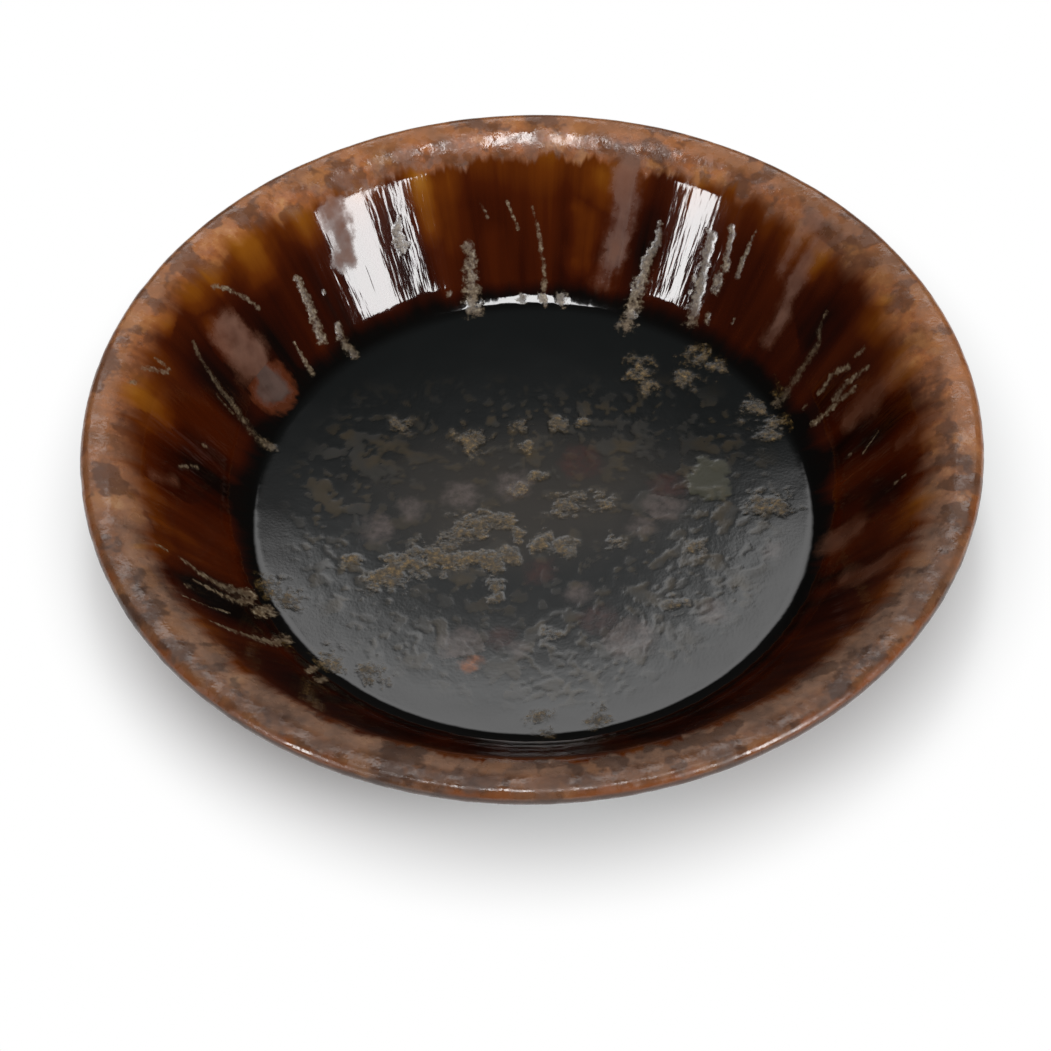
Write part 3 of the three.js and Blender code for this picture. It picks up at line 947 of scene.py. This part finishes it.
def glaze_material(name):
    material, bench = new_material(name)
    at = measured_spot(bench)
    on_lip = lip_cover(bench, at)
    on_pool = bench.step(at.along + at.fine * 8.0, 85.0, 78.0)
    colour = bench.mix(on_lip, wall_colour(bench, at), lip_colour(bench, at))
    colour = bench.mix(on_pool, colour, pool_colour(bench, at))
    colour, film = with_films(bench, at, colour)
    colour, crust = with_crusts_and_glints(bench, at, colour)
    dry = bench.line(bench.noise(at.place, 5.0, 3.0, 0.6), -0.1, 0.1, 0.12, 0.44)
    rough = bench.blend(on_lip, WET_ROUGHNESS, dry)
    rough = bench.blend(film, rough, FILM_ROUGHNESS)
    rough = bench.blend(crust, rough, CRUST_ROUGHNESS)
    pores = at.grain * (on_lip * 0.03 + crust * 0.08 + 0.004)
    pores = pores + bench.noise(at.place, 2.6, 2.0) * on_lip * 0.12
    ripple = streaks(bench, at.east, at.north, at.along, 0.9, 7.0) * 0.022 * (1.0 - on_pool)
    normal = bench.node("ShaderNodeBump", {}, {"Distance": MM, "Height": pores + ripple})
    varying = {"Base Color": colour, "Roughness": rough, "Normal": normal}
    set_surface(bench, {"IOR": GLASS_IOR}, varying)
    return material


GLAZE_SLOTS = ("pooled_glaze", "wall_glaze", "rim_glaze", "outside_glaze")
finishes = {slot: glaze_material(slot) for slot in GLAZE_SLOTS}
print("glazes:", sorted(finishes))


# %% [markdown]
# The clay is a buff earthenware with a sandy grain and a few iron specks. Only the foot shows it. It is
# quite dull, so roughness stays high, and a fine bump gives the tooth of unglazed clay.

# %% Mix the clay
def clay_material(name):
    material, bench = new_material(name)
    place = bench.scaled(bench.node("ShaderNodeTexCoord", out=3), MM_IN_METRE)
    warm = bench.noise(place, 14.0, 3.0) * 1.2 + 0.5
    colour = bench.mix(warm, paint(172, 142, 104), paint(196, 166, 124))
    speck = bench.step(bench.noise(place, 1.1, 1.0), 0.2, 0.26)
    colour = bench.mix(speck * 0.7, colour, paint(92, 62, 40))
    grain = bench.noise(place, 0.5, 3.0) * 0.08
    normal = bench.node("ShaderNodeBump", {}, {"Distance": MM, "Height": grain})
    set_surface(bench, {"Roughness": 0.85}, {"Base Color": colour, "Normal": normal})
    return material


finishes["fired_clay"] = clay_material("fired_clay")
print("clay is ready")


# %% [markdown]
# ## Five pieces
#
# Each coat is a closed shell: an outer skin on the profile and a lower skin just over the clay. Spare rows
# run past both ends of the outer skin while its normals are worked out, and are cut off afterwards. Two
# coats that meet then share their normals along the seam, so the seam doesn't show.

# %% Turn the coats
KEPT_NORMAL = 0.05


def coat_strands(name, start, end, rows, depth):
    """The two strands of a coat between two distances along the skin. None is spare at the axis."""
    first_spare = SPARE_ROWS if start else 0
    pace = (end - start) / rows
    steps = np.arange(-first_spare, rows + SPARE_ROWS + 1)
    along = start + steps * pace
    radius, height, tilt = skin(along)
    spare = (steps < 0) | (steps > rows)
    outer = strand_object(name + "_outer", (radius, height, tilt, along, np.ones(len(along)), spare))
    along = end + (start - end) * (1.0 - np.cos(np.linspace(0.0, math.pi, UNDER_ROWS))) / 2
    radius, height, tilt = skin(along)
    held, blank = np.zeros(len(along)), np.zeros(len(along))
    held[0] = 1.0
    held[-1] = 1.0 if first_spare else 0.0
    drop = np.interp(along, (start, end), depth) * (1.0 - held)
    radius, height = radius - drop * np.sin(tilt), height - drop * np.cos(tilt)
    return outer, strand_object(name + "_under", (radius, height, tilt, along, held, blank))


def finished_piece(name, group, outer, under, turns, slot):
    """Runs a group on a strand and keeps the result as a plain mesh with its smooth normals."""
    modifier = outer.modifiers.new("turning", "NODES")
    modifier.node_group = group
    values = {"Turns": turns, "Underside": under, "Finish": finishes[slot], **marks}
    for item in group.interface.items_tree:
        if item.in_out == "INPUT" and item.name in values:
            modifier[item.identifier] = values[item.name]
    depsgraph = bpy.context.evaluated_depsgraph_get()
    mesh = bpy.data.meshes.new_from_object(outer.evaluated_get(depsgraph), depsgraph=depsgraph)
    mesh.name = name
    normals = np.empty(len(mesh.vertices) * 3)
    mesh.attributes["skin_normal"].data.foreach_get("vector", normals)
    normals = normals.reshape(-1, 3)
    lengths = np.linalg.norm(normals, axis=1)
    own = np.array([vertex.normal for vertex in mesh.vertices])
    normals = np.where(lengths[:, None] > KEPT_NORMAL, normals / np.maximum(lengths, 1e-9)[:, None], own)
    mesh.normals_split_custom_set_from_vertices(normals)
    piece = placed(name, mesh)
    for helper in (outer, under):
        bpy.data.objects.remove(helper)
    print(name, len(mesh.vertices), "points", len(mesh.polygons), "faces")
    return piece


# Name, group, both ends along the skin, rows, depth at both ends, slot
COATS = [
    ("floor_pool", pooled_skin, 0.0, POOL_END, POOL_CELLS // 2, (2.3, 0.28), "pooled_glaze"),
    ("wall_coat", turned_skin, POOL_END, WALL_END, 72, (0.3, 0.26), "wall_glaze"),
    ("rim_coat", turned_skin, WALL_END, LIP_END, 44, (0.26, 0.26), "rim_glaze"),
    ("outside_coat", turned_skin, LIP_END, OUTSIDE_END, 72, (0.26, 0.4), "outside_glaze"),
]
pieces = {}
for name, group, start, end, rows, depth, slot in COATS:
    outer, under = coat_strands(name, start, end, rows, depth)
    pieces[name] = finished_piece(name, group, outer, under, TURNS, slot)


# %% [markdown]
# The clay's section runs under all the coats and comes out at the heel. A turning tool cut the foot, so
# the floor inside the foot ring keeps faint rings. They are part of the section itself.

# %% Turn the clay
CLAY_TURNS = 288
FOOT_INNER = FOOT_OUTER - FOOT_WIDTH
CHAMFER = 0.6
RING_ROWS, RING_DEPTH, RING_RATE = 140, 0.07, 2.9

shell = np.vstack([
    arc(DISH_CENTRE, -DISH_RADIUS, 0, -DISH, 30),
    arc(WELL_CENTRE, -WELL_RADIUS, -DISH, -WALL_SLOPE, 40),
    arc(FLARE_CENTRE, FLARE_RADIUS, -WALL_SLOPE, 0, 30),
    arc(LIP_CENTRE, LIP_RADIUS, 0, math.pi, 24),
    arc(FLARE_CENTRE, -UNDERCUT_RADIUS, math.pi, math.pi - WALL_SLOPE, 24),
    arc(WELL_CENTRE, HEEL_RADIUS, math.pi - WALL_SLOPE, heel_tilt(FOOT_OUTER), 40),
])
ring_radius = np.linspace(FOOT_INNER - 1.0, 0.0, RING_ROWS)
fading = np.clip(ring_radius / 8.0, 0, 1)
ring_height = FOOT_HEIGHT + RING_DEPTH * np.sin(ring_radius * RING_RATE) * fading
foot = np.vstack([
    shell[-1:],
    np.array([(FOOT_OUTER, CHAMFER, math.pi / 2), (FOOT_OUTER - CHAMFER, 0.0, math.pi)]),
    np.array([(FOOT_INNER + CHAMFER, 0.0, math.pi), (FOOT_INNER, CHAMFER, -math.pi / 2)]),
    np.array([(FOOT_INNER, FOOT_HEIGHT - 0.8, -math.pi / 2)]),
    np.array([(FOOT_INNER - 0.3, FOOT_HEIGHT - 0.2, math.pi)]),
    np.column_stack([ring_radius, ring_height, np.full(RING_ROWS, math.pi)]),
])


def still_strand(name, rows):
    """A strand without relief, for the clay."""
    blank = np.zeros(len(rows))
    return strand_object(name, (*rows.T, blank, blank, blank))


clay_strands = still_strand("clay_outer", shell), still_strand("clay_under", foot)
pieces["clay_shell"] = finished_piece("clay_shell", turned_skin, *clay_strands, CLAY_TURNS, "fired_clay")


# %% [markdown]
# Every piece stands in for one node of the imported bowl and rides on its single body.

# %% Hand the pieces over
STANDS_FOR = {
    "clay_shell": ("clay_body", "fired_clay"),
    "floor_pool": ("floor_pool_glaze", "pooled_glaze"),
    "wall_coat": ("inner_wall_glaze", "wall_glaze"),
    "rim_coat": ("rim_glaze", "rim_glaze"),
    "outside_coat": ("outside_glaze", "outside_glaze"),
}
for name, (node, slot) in STANDS_FOR.items():
    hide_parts(node)
    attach(pieces[name], "root")
for helper in marks.values():
    bpy.data.objects.remove(helper)
print("pieces:", sorted(STANDS_FOR))


# %% [markdown]
# ## Floor and light
#
# The photograph has a white table with a soft shadow. A white plane under strong lamps would do, but its
# edge would turn grey. This table is matt near the bowl, where it takes the shadow, and shines by itself
# farther out, so the picture's edge stays white.

# %% Lay the table
def disc_object(name, radius, sides=96):
    mesh = bpy.data.meshes.new(name)
    turn = np.linspace(0, 2 * math.pi, sides, endpoint=False)
    mesh.from_pydata([(radius * math.cos(a), radius * math.sin(a), 0.0) for a in turn], [], [range(sides)])
    return placed(name, mesh)


TABLE_RADIUS = 6.0
SHADOW_MIDDLE = (0.003, 0.019, 0.0)
MATT_WITHIN, SHINING_BEYOND = 0.106, 0.148
COOL_WHITE = (0.90, 0.93, 0.935, 1.0)
PURE_WHITE = (1.0, 1.0, 1.0, 1.0)

table = disc_object("table", TABLE_RADIUS)
table_finish, bench = new_material("white_table")
from_spot = {0: bench.node("ShaderNodeTexCoord", out=3), 1: SHADOW_MIDDLE}
distance = bench.node("ShaderNodeVectorMath", {"operation": "DISTANCE"}, from_spot, out=1)
matt = bench.node("ShaderNodeBsdfDiffuse", {}, {0: COOL_WHITE})
shining = bench.node("ShaderNodeEmission", {}, {0: PURE_WHITE, 1: 1.0})
farther = bench.step(distance, MATT_WITHIN, SHINING_BEYOND)
both = bench.node("ShaderNodeMixShader", {}, {0: farther, 1: matt, 2: shining})
bench.node("ShaderNodeOutputMaterial", {}, {0: both})
table.data.materials.append(table_finish)
print("table laid")


# %% [markdown]
# The lamps show as white shapes in the glass, so their places are read from those shapes. A hollow wall
# throws a lamp back from its far side: a wide box and a narrow strip in front on the right give the
# highlights on the left, and a narrow box on the left gives the one on the right. A box overhead
# lights the rest. A bright panel in the world, halfway up behind the bowl, is what the wet floor
# mirrors.

# %% Hang the lamps
def softbox(name, azimuth, elevation, distance, width, height, lean, radiance):
    """An area lamp aimed at the bowl. Azimuth 0 is the camera's side, and 90 the right."""
    turn, rise = math.radians(azimuth), math.radians(elevation)
    towards = Vector((math.sin(turn) * math.cos(rise), -math.cos(turn) * math.cos(rise), math.sin(rise)))
    data = bpy.data.lights.new(name, "AREA")
    data.shape = "RECTANGLE"
    data.size, data.size_y = width, height
    data.energy = radiance * math.pi * width * height
    lamp = placed(name, data)
    lamp.location = Vector((0.0, 0.0, 0.03)) + towards * distance
    lamp.rotation_mode = "QUATERNION"
    lamp.rotation_quaternion = Quaternion(towards, math.radians(lean)) @ towards.to_track_quat("Z", "Y")


# Name, azimuth, elevation, distance, width, height, lean, radiance
LAMPS = [
    ("overhead", 180.0, 86.0, 1.0, 0.165, 0.36, 0.0, 15.5),
    ("right_box", 52.6, 30.4, 1.2, 0.26, 0.55, -6.0, 16.0),
    ("right_strip", 37.4, 35.3, 1.2, 0.06, 0.37, -2.0, 17.0),
    ("left_box", -50.2, 29.8, 1.2, 0.13, 0.54, 5.0, 17.0),
]
for lamp_row in LAMPS:
    softbox(*lamp_row)
print("lamps:", [lamp_row[0] for lamp_row in LAMPS])


# %% Paint the room
DEGREES_IN_RADIAN = 57.3

room = bpy.data.worlds.new("white_room")
room.use_nodes = True
room.node_tree.nodes.clear()
bench = Bench(room.node_tree)
across_wise, depth_wise, height_wise = bench.parts(bench.node("ShaderNodeTexCoord", out=0))
rise = height_wise.math("ARCSINE", height_wise) * DEGREES_IN_RADIAN
bearing = across_wise.math("ARCTAN2", across_wise, depth_wise) * DEGREES_IN_RADIAN
aside = bearing.math("ABSOLUTE", bearing)
behind = bench.step(aside, 24.0, 14.0)
skirt = bench.step(rise, 37.0, 43.5) * 0.99 + 0.01
sidewards = bench.line(aside, 0.0, 3.0, 0.0, 3.0)
sidewards = sidewards * sidewards * bench.line(bearing, -2.0, 2.0, 0.46, 0.33)
lower_glow = bench.step(rise - sidewards, 48.0, 45.2) * behind * 2.0
upper_glow = bench.step(rise + sidewards * 0.6, 56.5, 50.0) * bench.step(aside, 20.0, 4.0) * 0.42
level = 0.02 + (upper_glow + lower_glow) * skirt
light = bench.node("ShaderNodeBackground", {}, {0: PURE_WHITE, 1: level})
bench.node("ShaderNodeOutputWorld", {}, {0: light})
bpy.context.scene.world = room
bpy.context.scene.view_settings.view_transform = "Standard"
print("room:", room.name)
